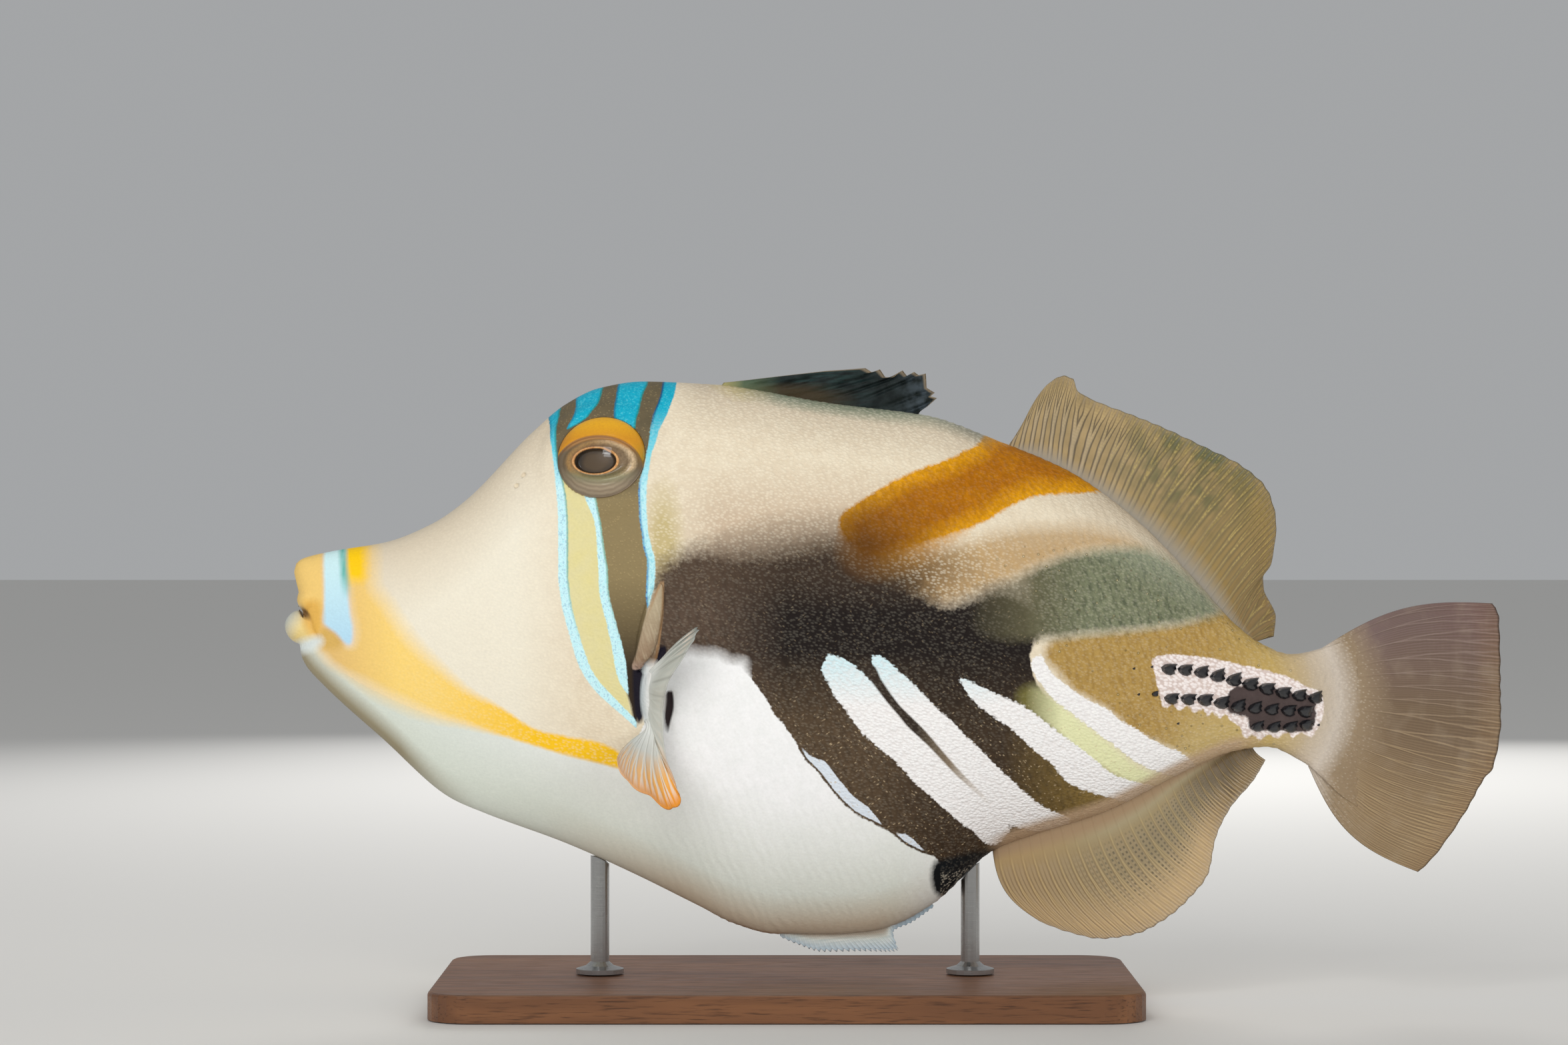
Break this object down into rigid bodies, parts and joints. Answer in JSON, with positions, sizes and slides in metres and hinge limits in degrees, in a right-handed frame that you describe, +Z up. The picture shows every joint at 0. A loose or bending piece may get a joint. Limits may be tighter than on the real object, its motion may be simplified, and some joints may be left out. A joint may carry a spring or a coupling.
{
  "type": "picasso triggerfish model",
  "caption": "Life-size still model of a picasso triggerfish, deep narrow body with fanned fins, held on a flat display base by short rods.",
  "frame": {"origin": "centre of the underside of the whole part's box, on the surface that the stand's base rests on", "axes": "the fish faces -X, its left flank faces -Y, +Z up"},
  "size_m": [0.2281, 0.074, 0.1186],
  "materials": {
    "skin": "fine tough scales, satin, marked in cream, dark brown, yellow and blue",
    "eye": "glossy, orange above and brown below with a dark pupil",
    "dark_fin": "folded dark green skin over three spines",
    "fin": "thin translucent membrane over soft rays",
    "stand_wood": "dark oiled walnut",
    "stand_steel": "brushed"
  },
  "bodies": {
    "root": {"head": "skin", "trunk": "skin", "tail": "skin", "eye_left": "eye", "eye_right": "eye", "first_dorsal_fin": "dark_fin", "second_dorsal_fin": "fin", "anal_fin": "fin", "tail_fin": "fin", "pectoral_fin_left": "fin", "pectoral_fin_right": "fin", "pelvic_flap": "skin", "stand_base": "stand_wood", "stand_rod_front": "stand_steel", "stand_rod_rear": "stand_steel"}
  },
  "joints": []
}
